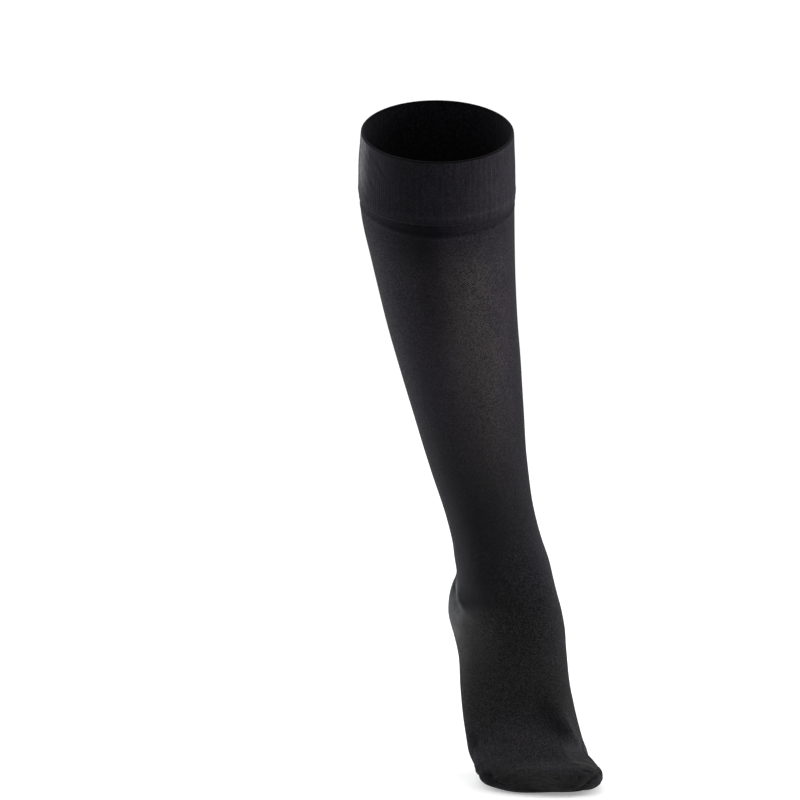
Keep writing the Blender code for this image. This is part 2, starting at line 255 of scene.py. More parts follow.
BAND_CREASES = (
    # slanting ripples at the back of the little-toe side
    (1.0, 258.0, 6.5, 266.0, 14.0, 281.0, 1.3, -0.75),
    (3.0, 254.0, 10.0, 263.0, 18.0, 277.0, 1.3, 0.45),
    (7.0, 256.0, 14.0, 267.0, 21.5, 287.0, 1.4, -0.75),
    (12.0, 256.0, 19.0, 266.0, 25.5, 280.0, 1.3, 0.40),
    (15.0, 259.0, 24.0, 268.0, 31.0, 277.0, 1.5, -0.80),
    (20.0, 270.0, 26.0, 280.0, 32.5, 291.0, 1.3, -0.55),
    (1.0, 270.0, 8.0, 281.0, 12.0, 291.0, 1.2, -0.50),
    (2.0, 281.0, 12.0, 289.0, 24.0, 299.0, 1.3, -0.45),
    (11.0, 276.0, 17.0, 284.0, 23.0, 294.0, 1.2, -0.38),
    (23.0, 252.0, 31.0, 260.0, 38.0, 272.0, 1.6, -0.65),
    (30.0, 262.0, 37.0, 270.0, 42.0, 281.0, 1.5, -0.45),
    (3.0, 240.0, 12.0, 247.0, 22.0, 257.0, 1.5, -0.60),
    (18.0, 238.0, 27.0, 244.0, 35.0, 253.0, 1.6, -0.50),
    # looser ones round the back and the inside
    (6.0, 206.0, 14.0, 214.0, 24.0, 223.0, 2.0, -0.45),
    (20.0, 188.0, 28.0, 194.0, 38.0, 203.0, 2.0, -0.38),
    (12.0, 226.0, 20.0, 231.0, 31.0, 238.0, 1.7, -0.42),
    (8.0, 150.0, 14.0, 154.0, 22.0, 161.0, 2.0, -0.32),
    (26.0, 133.0, 34.0, 127.0, 42.0, 119.0, 2.0, -0.36),
    (5.0, 100.0, 12.0, 95.0, 19.0, 87.0, 1.8, -0.36),
    (15.0, 93.0, 23.0, 86.0, 31.0, 78.0, 1.8, -0.32),
    (30.0, 65.0, 37.0, 60.0, 44.0, 54.0, 2.0, -0.26),
)


def wrapped(turn, centre):
    return (turn - centre + math.pi) % (2 * math.pi) - math.pi


def crease_field(points, normals, table):
    """Sum of all creases of a table at each point of a surface, in mm outward."""
    shape = points.shape[:-1]
    p, n = points.reshape(-1, 3) / MM, normals.reshape(-1, 3)
    total = np.zeros(len(p))
    for row in table:
        c = dict(zip(CREASE_COLUMNS, row))
        k = np.linspace(0, 1, 41)
        w0, w1, w2 = 2 * (k - 0.5) * (k - 1), 4 * k * (1 - k), 2 * k * (k - 0.5)
        t0, t1, t2 = (math.radians(c[x]) for x in ("turn0", "turn1", "turn2"))
        t0, t2 = t1 + wrapped(t0, t1), t1 + wrapped(t2, t1)
        s = c["s0"] * w0 + c["s1"] * w1 + c["s2"] * w2
        a = t0 * w0 + t1 * w1 + t2 * w2
        path = tube(s, a) / MM
        out = tube(s, a, 1.0) / MM - path
        reach = 3.0 * c["width"]
        near = np.nonzero(np.all((p > path.min(0) - reach) & (p < path.max(0) + reach), axis=1))[0]
        if not len(near):
            continue
        d2 = ((p[near, None, :] - path[None]) ** 2).sum(-1)
        j = d2.argmin(1)
        same = np.sum(n[near] * out[j], -1)
        taper = np.sin(math.pi * k[j]) ** 1.2
        total[near] += c["depth"] * np.exp(-d2.min(1) / c["width"] ** 2) * taper * smooth(same, 0.05, 0.55)
    return total.reshape(shape)


def ripple(s, turn):
    """Very small unevenness of stretched knit, from a few fixed waves, in mm."""
    a = np.sin(s / 21.0 + 2.1 * np.sin(turn * 2 + 0.4)) * np.cos(turn * 5 + s / 47.0)
    b = np.sin(s / 9.5 + turn * 3.0 + 1.3) * np.cos(turn * 7 - s / 31.0 + 0.7)
    c = np.sin(turn * 11 + s / 17.0) * np.sin(s / 13.0 - turn * 2)
    return 0.10 * a + 0.05 * b + 0.04 * c


# ---------------------------------------------------------------- gores
class Gore:
    """The wedge between two planes that cross the stocking from one side to the other.
    An arch, if given, is a table of (side, mm up): how the wedge rides over the toes."""

    def __init__(self, point, first, second, across, arch=((-50.0, 0.0), (50.0, 0.0))):
        self.point = np.array(point, float)
        self.side, self.fwd_rise, self.up_rise = across
        self.arch = np.array(arch, float)
        d1, d2 = (np.array(d, float) / np.linalg.norm(d) for d in (first, second))
        middle = (d1 + d2) / np.linalg.norm(d1 + d2)
        self.norms = []
        for d in (d1, d2):
            n = np.array((-d[1], d[0]))
            self.norms.append(n if n @ middle > 0 else -n)

    def depths(self, p):
        """Distance (mm) inside each of the two planes, of points in metres."""
        q = fitter(p)
        off = q[..., 2] - self.side
        up = q[..., 0] - self.up_rise * off - np.interp(q[..., 2], self.arch[:, 0], self.arch[:, 1])
        f = np.stack([q[..., 1] - self.fwd_rise * off, up], -1) - self.point
        return f @ self.norms[0], f @ self.norms[1]


TOE_ARCH = ((-50.0, 0.0), (-38.0, 0.0), (-35.0, -1.5), (-31.0, -3.2), (-26.0, -3.7), (-10.0, -3.7),
            (2.0, -4.0), (7.0, -3.2), (11.0, -1.0), (15.0, 2.0), (19.0, 3.8), (24.0, 2.2),
            (29.0, 0.3), (33.0, -1.5), (38.0, 0.0), (50.0, 0.0))
HEEL = Gore((-38.5, 130.5), (-47.2, 9.3), (-26.5, -33.7), (40.0, 0.06, 0.10))
TOE = Gore((20.2, 26.7), (-16.0, -24.0), (55.8, -14.0), (37.0, 0.10, 0.13), TOE_ARCH)

# ---------------------------------------------------------------- shading fields
# Painted sheen and highlights where light falls on the knit, together with the paler tone of knit stretched thin:
# centre, reach along and round.
PATCH_COLUMNS = ("s", "turn", "along", "round_mm", "level")
STRETCH_SHEEN_PATCHES = (
    (122.0, 354.5, 92.0, 40.5, 1.00),     # inner front of the calf
    (109.0, 337.0, 52.0, 9.0, 0.24),
    (150.0, 46.0, 90.0, 18.0, 0.25),
    (215.0, 6.0, 62.0, 24.0, 0.30),
    (105.0, 150.0, 70.0, 34.0, 0.75),     # back of the calf, inner side
    (120.0, 215.0, 60.0, 30.0, 0.35),     # back of the calf, outer side
    (325.0, 62.0, 26.0, 17.0, 0.45),      # inner ankle bone
    (326.0, 290.0, 20.0, 13.0, 0.10),     # outer ankle bone
    (352.0, 128.0, 22.0, 20.0, 0.60),     # above the heel pocket, inner side
    (368.0, 76.0, 20.0, 13.0, 0.70),      # in front of the heel point, inner side
    (352.0, 232.0, 18.0, 16.0, 0.60),     # above the heel pocket, outer side
    (376.0, 268.0, 12.0, 16.0, 0.85),     # below the outer ankle
    (396.0, 280.0, 24.0, 18.0, 0.50),
    (408.0, 92.0, 34.0, 18.0, 0.32),      # along the arch
    (470.0, 60.0, 24.0, 12.0, 0.45),      # ball of the foot, big-toe side
    (486.0, 334.0, 15.0, 36.0, 0.30),     # across the ball, above the toes
    (533.0, 350.0, 9.0, 30.0, 0.14),      # the front of the toes
    (548.0, 296.0, 7.0, 22.0, 0.34),
    (554.0, 350.0, 5.0, 30.0, 0.34),
    (378.0, 234.0, 20.0, 15.0, 1.00),     # the back of the heel, outer side
    (394.0, 250.0, 20.0, 14.0, 0.62),     # below it
    (412.0, 268.0, 30.0, 13.0, 0.22),
    (440.0, 300.0, 50.0, 26.0, 0.14),
    (527.0, 46.0, 3.2, 9.5, 0.90),        # the fold over the big toe
    (540.0, 79.0, 8.0, 7.0, 0.60),        # its inner edge
    (505.0, 330.0, 26.0, 55.0, 0.12),     # over the toes
    (500.0, 4.0, 9.0, 20.0, 0.26),
    (482.0, 58.0, 12.0, 6.0, 0.32),       # the ridge beside the tendon
)
# Painted highlights: pale patches where light falls brightest, in the same columns.
PAINTED_HIGHLIGHTS = (
    (356.0, 256.0, 7.0, 4.5, 1.00),       # the back of the heel, past the fold
    (361.0, 260.0, 6.0, 6.0, 0.50),
    (366.0, 267.0, 8.0, 5.0, 0.38),
    (374.0, 272.0, 7.0, 6.0, 0.30),
    (388.0, 256.0, 9.0, 10.0, 0.22),
    (368.0, 132.0, 15.0, 11.0, 0.18),     # the same on the inner side
    (498.0, 70.0, 12.0, 5.0, 0.14),       # beside the ball of the big toe
)
# Painted shade: dark patches where shade falls, in the same columns.
PAINTED_SHADES = (
    (130.0, 304.0, 110.0, 26.0, 0.46),    # down the outer side of the shin
    (95.0, 328.0, 54.0, 14.0, 0.42),
    (230.0, 288.0, 80.0, 13.0, 0.28),
    (245.0, 306.0, 80.0, 15.0, 0.17),
    (280.0, 356.0, 34.0, 22.0, 0.12),
    (356.0, 280.0, 13.0, 7.0, 0.26),
    (340.0, 275.0, 17.0, 9.0, 0.26),
    (150.0, 60.0, 120.0, 20.0, 0.38),     # the inner edge of the calf
    (150.0, 44.0, 110.0, 13.0, 0.22),
    (235.0, 50.0, 50.0, 24.0, 0.20),
    (66.0, 314.0, 18.0, 38.0, 0.36),      # just below the band
    (288.0, 318.0, 44.0, 18.0, 0.32),     # front of the shin, above the ankle
    (340.0, 296.0, 22.0, 22.0, 0.50),     # front of the outer ankle
    (356.0, 281.0, 9.0, 13.0, 0.68),      # the slack fold over it
    (356.0, 310.0, 10.0, 12.0, 0.35),
    (412.0, 288.0, 26.0, 9.0, 0.34),      # the outer edge of the foot
    (507.0, 266.0, 6.0, 13.0, 0.44),      # the little toe
    (542.0, 46.0, 4.0, 9.0, 0.30),        # under the big toe
    (528.0, 300.0, 9.0, 40.0, 0.14),
    (464.0, 14.0, 24.0, 9.0, 0.28),       # beside the big toe's tendon
    (483.0, 36.0, 9.0, 5.5, 0.58),
    (468.0, 30.0, 10.0, 5.0, 0.30),
    (478.0, 274.0, 7.0, 6.0, 0.40),       # above the little toes
    (513.0, 262.0, 10.0, 11.0, 0.66),     # over the little toe
    (527.0, 256.0, 10.0, 13.0, 0.70),     # below the little toes
    (545.0, 246.0, 7.0, 12.0, 0.45),
    (545.0, 34.0, 5.5, 13.0, 0.60),       # under the big toe's ridge
    (542.0, 49.0, 4.5, 8.0, 0.50),
    (511.0, 48.0, 8.0, 11.0, 0.22),       # above it
    (552.0, 38.0, 4.5, 15.0, 0.55),
)
# Where the pile has a cool tint, and where the grain lies calm.
COOL = (
    (54.0, 350.0, 24.0, 200.0, 1.00),
    (150.0, 296.0, 100.0, 32.0, 0.90),
    (150.0, 40.0, 130.0, 20.0, 0.80),
    (110.0, 24.0, 85.0, 14.0, 0.35),
    (300.0, 300.0, 60.0, 26.0, 0.40),
    (330.0, 20.0, 60.0, 26.0, 0.50),
    (490.0, 335.0, 30.0, 50.0, 0.50),
)
CALM = (
    (57.0, 0.0, 7.0, 80.0, 0.40),
    (74.0, 0.0, 13.0, 60.0, 0.36),
    (400.0, 352.0, 40.0, 24.0, 0.14),
    (120.0, 296.0, 130.0, 48.0, 0.16),
    (180.0, 326.0, 75.0, 22.0, 0.34),
    (250.0, 345.0, 45.0, 40.0, 0.26),
    (300.0, 320.0, 50.0, 60.0, 0.58),
    (345.0, 300.0, 24.0, 40.0, 0.18),
    (440.0, 320.0, 60.0, 70.0, 0.36),
)


def painted_shade_field(s, turn):
    return patches(s, turn, PAINTED_SHADES)


def stretch_sheen_field(s, turn):
    return patches(s, turn, STRETCH_SHEEN_PATCHES)


def patches(s, turn, table):
    total = np.zeros(np.broadcast(s, turn).shape)
    radius = ring_radius(s)
    for row in table:
        c = dict(zip(PATCH_COLUMNS, row))
        x = wrapped(turn, math.radians(c["turn"])) * radius
        y = s - c["s"]
        total += c["level"] * np.exp(-((x / c["round_mm"]) ** 2 + (y / c["along"]) ** 2))
    return np.clip(total, 0, 1)


# ---------------------------------------------------------------- mesh building
ROOT = "root"
WALES = 288            # needles round the tube: knit columns
COURSE = 0.735         # mm of one knit row


def mesh_object(name, bm):
    mesh = bpy.data.meshes.new(name)
    bm.to_mesh(mesh)
    bm.free()
    mesh.shade_smooth()
    ob = bpy.data.objects.new(name, mesh)
    bpy.context.scene.collection.objects.link(ob)
    return ob


def knit_row(s):
    """Knit row at a length along the tube; the toe's rows are of a heavier yarn."""
    past = max(0.0, float(s) - 466.0)
    return (float(s) - 0.62 * past * past / (past + 14.0)) / COURSE


def grid_bmesh(points, along, turns, fields, columns, cap=False):
    """A closed-round grid as a bmesh, with knit UVs and per-vertex fields."""
    rings, count = points.shape[:2]
    bm = bmesh.new()
    layers = {name: bm.verts.layers.float.new(name) for name in fields}
    layers["along"] = bm.verts.layers.float.new("along")
    layers["lean"] = bm.verts.layers.float.new("lean")
    uv = bm.loops.layers.uv.new("knit")
    verts = []
    for i in range(rings):
        row = []
        for k in range(count):
            v = bm.verts.new(points[i, k])
            for name, field in fields.items():
                v[layers[name]] = float(field[i, k])
            v[layers["along"]] = float(along[i, k])
            v[layers["lean"]] = float(turns[i, k])
            row.append(v)
        verts.append(row)
    for i in range(rings - 1):
        for k in range(count):
            n = (k + 1) % count
            f = bm.faces.new((verts[i][k], verts[i + 1][k], verts[i + 1][n], verts[i][n]))
            f.smooth = True
            for loop, (a, b) in zip(f.loops, ((i, k), (i + 1, k), (i + 1, k + 1), (i, k + 1))):
                turn = b / count
                loop[uv].uv = (turn * columns, knit_row(along[a, b % count]))
    if cap:
        end = bm.verts.new(points[-1].mean(axis=0))
        for name, field in fields.items():
            end[layers[name]] = float(field[-1].mean())
        end[layers["along"]] = float(along[-1].mean()) + 0.2
        for k in range(count):
            f = bm.faces.new((verts[-1][k], end, verts[-1][(k + 1) % count]))
            f.smooth = True
            for loop, (u, v) in zip(f.loops, ((k, 0.0), (k + 0.5, 0.3), (k + 1, 0.0))):
                loop[uv].uv = (u / count * columns, knit_row(along[-1, k]) + v)
    bm.normal_update()
    return bm


def level_cut(bm, gore, which, level, reach):
    """Cuts new edges where a point is level mm inside one plane of a gore, on that
    gore's own side of the tube."""
    verts = list(bm.verts)
    depth = gore.depths(np.array([v.co for v in verts]))
    value = depth[which] - level
    near = (np.abs(value) < 12.0) & (depth[1 - which] > -reach)
    value = np.where(np.abs(value) < 0.02, 0.0, value)
    info = {v: (float(x), bool(k)) for v, x, k in zip(verts, value, near)}
    marked = {v for v, (x, k) in info.items() if k and x == 0.0}
    crossing = [e for e in bm.edges if info[e.verts[0]][1] and info[e.verts[1]][1]
                and info[e.verts[0]][0] * info[e.verts[1]][0] < 0]
    for e in crossing:
        a, b = e.verts
        share = info[a][0] / (info[a][0] - info[b][0])
        marked.add(bmesh.utils.edge_split(e, a, share)[1])
    for f in {f for v in marked for f in v.link_faces}:
        on = [v for v in f.verts if v in marked]
        if len(on) == 2:
            a, b = on
            if not any(e.other_vert(a) is b for e in a.link_edges):
                bmesh.utils.face_split(f, a, b)


def keep_faces(bm, wanted):
    """A copy of bm with only the faces that wanted(centres) says."""
    out = bm.copy()
    out.faces.ensure_lookup_table()
    centres = np.array([f.calc_center_median() for f in out.faces])
    mask = wanted(centres)
    bmesh.ops.delete(out, geom=[f for f, m in zip(out.faces, mask) if not m], context="FACES")
    return out


def add_wall(ob, wall):
    """Gives an open surface its real cloth thickness, inwards."""
    m = ob.modifiers.new("wall", "SOLIDIFY")
    m.thickness = wall * MM
    m.offset = -1.0
    m.use_even_offset = False
    m.use_rim = True
    return m


# ---------------------------------------------------------------- materials
class Graph:
    """Short hands for building a node tree."""

    def __init__(self, name):
        self.mat = bpy.data.materials.new(name)
        self.mat.use_nodes = True
        self.tree = self.mat.node_tree
        self.shader = self.tree.nodes["Principled BSDF"]

    def node(self, kind, inputs=(), **props):
        n = self.tree.nodes.new(kind)
        for k, v in props.items():
            setattr(n, k, v)
        for key, v in dict(inputs).items():
            self.set(n.inputs[key], v)
        return n

    def set(self, socket, v):
        if isinstance(v, bpy.types.NodeSocket):
            self.tree.links.new(v, socket)
        else:
            socket.default_value = v

    def math(self, op, a, b=None, c=None, clamp=False):
        n = self.tree.nodes.new("ShaderNodeMath")
        n.operation, n.use_clamp = op, clamp
        for i, v in enumerate((a, b, c)):
            if v is not None:
                self.set(n.inputs[i], v)
        return n.outputs[0]

    def mix(self, share, a, b, blend="MIX"):
        n = self.tree.nodes.new("ShaderNodeMix")
        n.data_type, n.blend_type = "RGBA", blend
        self.set(n.inputs[0], share)
        self.set(n.inputs[6], a)
        self.set(n.inputs[7], b)
        return n.outputs[2]

    def remap(self, v, a, b, c, d, kind="SMOOTHSTEP"):
        n = self.tree.nodes.new("ShaderNodeMapRange")
        n.interpolation_type = kind
        for i, x in enumerate((v, a, b, c, d)):
            self.set(n.inputs[i], x)
        return n.outputs[0]

    def field(self, name):
        return self.node("ShaderNodeAttribute", attribute_name=name).outputs["Fac"]


def knit_material(name, dark, light, warm, rough, hatch=1.0, grain=1.0, rib=0.0, fine_cells=1.0,
                  sheen=0.06, sheen_tint=(0.88, 0.87, 1.0, 1.0), bump=0.5):
    """Fine elastic knit: V-shaped loops, a diagonal bird's-eye of tucks, single-yarn
    grain, and a paler, warmer tone where the knit is pulled thin and where sheen is painted on, with painted
    highlights, painted shade and a painted highlight along the gore lines, all read from vertex attributes."""
    g = Graph(name)
    uv = g.node("ShaderNodeUVMap", uv_map="knit").outputs[0]
    parts = g.node("ShaderNodeSeparateXYZ", {0: uv})
    u, v = parts.outputs[0], parts.outputs[1]
    even = g.node("ShaderNodeCombineXYZ", {0: u, 1: g.math("MULTIPLY", v, 0.5)}).outputs[0]
    # V loops: two legs to a stitch, sloping up to its sides
    fu = g.math("ABSOLUTE", g.math("SUBTRACT", g.math("FRACT", u), 0.5))
    legs = g.math("MULTIPLY_ADD", g.math("COSINE", g.math("MULTIPLY", g.math("SUBTRACT", fu, 0.25), 4 * math.pi)), 0.5, 0.5)
    slope = g.math("ADD", v, g.math("MULTIPLY", fu, 1.3))
    loops = g.math("MULTIPLY_ADD", g.math("COSINE", g.math("MULTIPLY", slope, 2 * math.pi)), 0.5, 0.5)
    stitch = g.math("MULTIPLY", legs, g.math("MULTIPLY_ADD", loops, 0.65, 0.35))
    # bird's-eye: tucks on two needles in three, stepping sideways with the rows
    wobble = g.node("ShaderNodeTexNoise", {"Vector": even, "Scale": 0.06, "Detail": 3.0}).outputs[0]
    shift = g.math("MULTIPLY", g.math("SUBTRACT", wobble, 0.5), 1.2)
    rise = g.math("ADD", g.math("MULTIPLY_ADD", u, 0.62, g.math("MULTIPLY", v, 0.5)), shift)
    fall = g.math("SUBTRACT", g.math("MULTIPLY_ADD", u, 0.62, shift), g.math("MULTIPLY", v, 0.5))
    tuck = g.math("MULTIPLY_ADD", g.math("COSINE", g.math("MULTIPLY", rise, 2 * math.pi)), 0.20, 0.5)
    tuck = g.math("MULTIPLY_ADD", g.math("COSINE", g.math("MULTIPLY", fall, 2 * math.pi)), 0.20, tuck)
    # grain: one value a stitch, and clumps a stitch or two and a hand's breadth wide
    cell = g.node("ShaderNodeCombineXYZ", {0: g.math("FLOOR", g.math("MULTIPLY", u, fine_cells)),
                                           1: g.math("FLOOR", v)}).outputs[0]
    white = g.node("ShaderNodeTexWhiteNoise", {"Vector": cell}, noise_dimensions="2D")
    speck = white.outputs[0]
    other = g.node("ShaderNodeSeparateColor", {0: white.outputs[1]}).outputs[2]
    # the tucks again, each loop pulled tight or slack by chance
    loose = g.math("MULTIPLY", g.math("SUBTRACT", tuck, 0.5), g.math("MULTIPLY_ADD", other, 1.7, 0.2))
    clump = g.node("ShaderNodeTexNoise", {"Vector": even, "Scale": 2.3, "Detail": 2.0, "Roughness": 0.8}).outputs[0]
    patch = g.node("ShaderNodeTexNoise", {"Vector": even, "Scale": 0.11, "Detail": 2.0}).outputs[0]
    broad = g.node("ShaderNodeTexNoise", {"Vector": even, "Scale": 0.025, "Detail": 3.0}).outputs[0]
    # vertex attributes: painted sheen with the paleness of stretched knit, painted shade, and the painted highlight
    # along the gore lines
    stretch_sheen = g.field("stretch_sheen")
    painted_shade = g.field("painted_shade")
    gore_highlight = g.field("gore")
    uneven = g.math("MULTIPLY_ADD", g.math("POWER", speck, 2.2), 1.0, g.math("MULTIPLY", clump, 0.12))
    uneven = g.math("ADD", uneven, g.math("MULTIPLY_ADD", loose, 1.5, -0.12))
    lively = g.math("MULTIPLY", g.math("SUBTRACT", 1.0, g.field("calm")), 0.88 * grain)
    uneven = g.math("MULTIPLY_ADD", g.math("SUBTRACT", uneven, 0.28), lively, 0.28, clamp=True)
    base = g.mix(uneven, dark, light)
    fine = g.math("MULTIPLY_ADD", g.math("SUBTRACT", speck, 0.5), 0.85, g.math("MULTIPLY", loose, 2.3))
    fine = g.remap(fine, -0.5, 0.5, -0.48, 0.48, "LINEAR")
    swing = g.math("MULTIPLY", g.remap(stretch_sheen, 0.10, 0.80, 0.75, 1.0), g.math("SUBTRACT", 1.0, g.field("calm")))
    fine = g.math("MULTIPLY_ADD", g.math("MULTIPLY", fine, swing), -min(1.0, 1.7 * hatch), 0.48 * hatch, clamp=True)
    lit = g.mix(fine, warm, dark)
    lit = g.mix(g.remap(clump, 0.35, 0.65, 0.30 * grain, 0.0), lit, dark)
    # how much of the painted sheen colour shows, broken up by slow noise
    amount = g.math("MULTIPLY", stretch_sheen, g.remap(broad, 0.25, 0.75, 0.8, 1.15), clamp=True)
    amount = g.math("MULTIPLY", amount, g.remap(patch, 0.3, 0.7, 0.88, 1.08), clamp=True)
    base = g.mix(amount, base, lit)
    # painted highlight along the gore lines
    base = g.mix(gore_highlight, base, warm)
    # painted highlight: a pale speckled tone
    painted_highlight_tone = g.mix(g.math("MULTIPLY", speck, 0.7), (0.300, 0.295, 0.305, 1.0), (0.110, 0.108, 0.111, 1.0))
    base = g.mix(g.field("painted_highlight"), base, painted_highlight_tone)
    # painted shade: towards near-black
    base = g.mix(painted_shade, base, (0.0016, 0.0016, 0.0019, 1.0))
    base = g.mix(g.field("plain"), base, g.mix(1.0, base, (0.955, 1.0, 0.985, 1.0), "MULTIPLY"))
    base = g.mix(g.field("cool"), base, g.mix(1.0, base, (1.0, 0.94, 1.19, 1.0), "MULTIPLY"))
    gaps = g.remap(stitch, 0.0, 0.5, 0.6, 1.08)
    if rib:
        wave = g.math("MULTIPLY_ADD", g.math("COSINE", g.math("MULTIPLY", u, 2 * math.pi)), 0.30, 0.5)
        wave = g.math("MULTIPLY_ADD", g.math("COSINE", g.math("MULTIPLY", u, 0.86 * math.pi)), 0.30, wave)
        column = g.node("ShaderNodeCombineXYZ", {0: u, 1: g.math("MULTIPLY", v, 0.035)}).outputs[0]
        streak = g.node("ShaderNodeTexNoise", {"Vector": column, "Scale": 0.55, "Detail": 3.0, "Roughness": 0.7}).outputs[0]
        deep = g.math("MULTIPLY_ADD", stretch_sheen, 0.38 * rib, 0.16 * rib)
        gaps = g.math("MULTIPLY", gaps, g.math("MULTIPLY_ADD", g.math("SUBTRACT", wave, 0.6), deep, 1.0))
        depth = g.math("MULTIPLY_ADD", stretch_sheen, 1.3, 0.6)
        gaps = g.math("MULTIPLY", gaps, g.math("MULTIPLY_ADD", g.math("SUBTRACT", streak, 0.5), depth, 1.0))
    tone = g.node("ShaderNodeCombineColor", {0: gaps, 1: gaps, 2: gaps}).outputs[0]
    base = g.mix(1.0, base, tone, "MULTIPLY")
    g.set(g.shader.inputs["Base Color"], base)
    g.set(g.shader.inputs["Roughness"], g.remap(clump, 0.3, 0.7, rough - 0.06, rough + 0.08))
    g.shader.inputs["Specular IOR Level"].default_value = 0.02
    g.shader.inputs["Sheen Weight"].default_value = sheen
    g.shader.inputs["Sheen Roughness"].default_value = 0.45
    g.shader.inputs["Sheen Tint"].default_value = sheen_tint
    height = g.math("SUBTRACT", stitch, g.math("MULTIPLY", tuck, 0.3 * hatch))
    height = g.math("ADD", height, g.math("MULTIPLY", clump, 0.5))
    b = g.node("ShaderNodeBump", {"Height": height, "Strength": bump, "Distance": 0.00025})
    g.set(g.shader.inputs["Normal"], b.outputs[0])
    return g.mat


DARK = (0.0014, 0.0014, 0.0015, 1.0)
LIGHT = (0.0410, 0.0402, 0.0407, 1.0)
# the warm colour of the painted sheen, also used for the painted highlight along the gore lines
WARM = (0.0835, 0.0757, 0.0755, 1.0)
leg_mat = knit_material("leg_knit_fine", DARK, LIGHT, WARM, 0.74, fine_cells=1.4)
pocket_mat = knit_material("pocket_knit_dense", (0.0022, 0.0022, 0.0024, 1.0), (0.0265, 0.0262, 0.0260, 1.0),
                           (0.092, 0.0895, 0.0905, 1.0), 0.84, hatch=0.32, grain=1.15, fine_cells=1.2)
toe_mat = knit_material("toe_knit_dense", (0.0014, 0.0014, 0.0015, 1.0), (0.0345, 0.0341, 0.0347, 1.0),
                        (0.063, 0.061, 0.062, 1.0), 0.8, hatch=0.65, grain=1.2)
band_mat = knit_material("band_knit_ribbed", (0.0020, 0.0019, 0.0025, 1.0), (0.0175, 0.0163, 0.0208, 1.0),
                         (0.0500, 0.0450, 0.0570, 1.0), 0.82, hatch=0.42, grain=1.2, rib=1.0, fine_cells=2.0, sheen=0.07)


def stitch_material(name, low, high):
    g = Graph(name)
    place = g.node("ShaderNodeTexCoord").outputs["Object"]
    fine = g.node("ShaderNodeTexNoise", {"Vector": place, "Scale": 2600.0, "Detail": 2.0}).outputs[0]
    broad = g.node("ShaderNodeTexNoise", {"Vector": place, "Scale": 90.0, "Detail": 1.0}).outputs[0]
    tone = g.mix(g.remap(fine, 0.3, 0.7, 0.0, 1.0), low, high)
    tone = g.mix(g.remap(broad, 0.35, 0.65, 0.0, 0.6), tone, (0.007, 0.007, 0.0075, 1.0))
    g.set(g.shader.inputs["Base Color"], tone)
    g.set(g.shader.inputs["Roughness"], g.remap(fine, 0.3, 0.7, 0.6, 0.8))
    g.shader.inputs["Specular IOR Level"].default_value = 0.08
    g.shader.inputs["Sheen Weight"].default_value = 0.05
    b = g.node("ShaderNodeBump", {"Height": fine, "Strength": 0.4, "Distance": 0.0001})
    g.set(g.shader.inputs["Normal"], b.outputs[0])
    return g.mat


heel_yarn = stitch_material("heel_stitch_yarn", (0.006, 0.006, 0.0065, 1.0), (0.020, 0.0195, 0.019, 1.0))
toe_yarn = stitch_material("toe_stitch_yarn", (0.016, 0.016, 0.0165, 1.0), (0.062, 0.061, 0.060, 1.0))

# ---------------------------------------------------------------- leg, foot, heel, toe
AROUND = 168
body_s = np.concatenate([
    (49.8, 50.4, 50.9, 51.6),
    np.arange(0.0, 16.0, 1.0) + 52.4,
    np.arange(68.4, 328.0, 3.1),
    np.arange(328.0, 402.0, 1.6),
    np.arange(402.0, 462.0, 2.2),
    np.arange(462.0, AT[-1], 1.35),
])
dome = AT[-1] + TOE_DOME * (1 - (1 - np.linspace(0.0, 0.965, 8)) ** 2)
body_s = np.concatenate([body_s, dome])
turns = np.broadcast_to(2 * math.pi * np.arange(AROUND) / AROUND, (len(body_s), AROUND))
# the upper rings follow the band's lower edge, easing back to level further down
ease = 1 - smooth(body_s, 52.4, 110.0)
along = body_s[:, None] + ease[:, None] * (band_edge(turns) - BAND_HEIGHT)
base = tube(along, turns)
normal = normals_of(base)
below = along - band_edge(turns)
strip = 1 - smooth(below, strip_width(turns) - 2.2, strip_width(turns) + 1.4)
step_line = bell(below - strip_width(turns) - 1.4, 1.6)
out = crease_field(base, normal, BODY_CREASES)
out += ripple(along, turns) * smooth(LENGTH - along, 0, 30)
out += -0.45 * strip * (1 - smooth(1.0 - below, -6.0, 1.0) * 0.3) + 0.28 * step_line
# the sole lifts a little towards the toe's end, and the inner side fills out
sole = smooth(-np.cos(turns), 0.1, 0.8)
out += -1.1 * sole * smooth(along, 520.0, 543.0) * (1 - bell(wrapped(turns, math.radians(214)), 0.45))
out += 0.9 * bell(wrapped(turns, math.radians(212)), 0.3) * bell(along - 535.0, 9.0)
out += 0.9 * bell(wrapped(turns, math.radians(82)), 0.55) * bell(along - 372.0, 45.0)
out += 0.75 * bell(wrapped(turns, math.radians(66)), 0.5) * smooth(along, 120.0, 190.0) * (1 - smooth(along, 325.0, 358.0))
out += 0.6 * bell(wrapped(turns, math.radians(76)), 0.4) * bell(along - 420.0, 18.0)
out += 0.5 * bell(wrapped(turns, math.radians(85)), 0.4) * smooth(along, 440.0, 455.0) * (1 - smooth(along, 488.0, 496.0))
out += -1.1 * bell(wrapped(turns, math.radians(80)), 0.3) * bell(along - 499.0, 5.0)
out += 0.6 * bell(wrapped(turns, math.radians(80)), 0.35) * bell(along - 519.0, 9.0)
out += -0.8 * bell(wrapped(turns, math.radians(103)), 0.3) * bell(along - 535.0, 6.0)
out += 0.8 * bell(wrapped(turns, math.radians(135)), 0.25) * bell(along - 545.0, 5.0)
out += 0.5 * bell(wrapped(turns, math.radians(262)), 0.5) * bell(along - 480.0, 9.0)
toe_fade = smooth(LENGTH - along, 0.0, 10.0)
points = base + normal * (out * toe_fade)[..., None] * MM
# how deep each crease hollow is, for painted shade in it
hollow = np.clip(-out, 0, 2.0) / 2.0

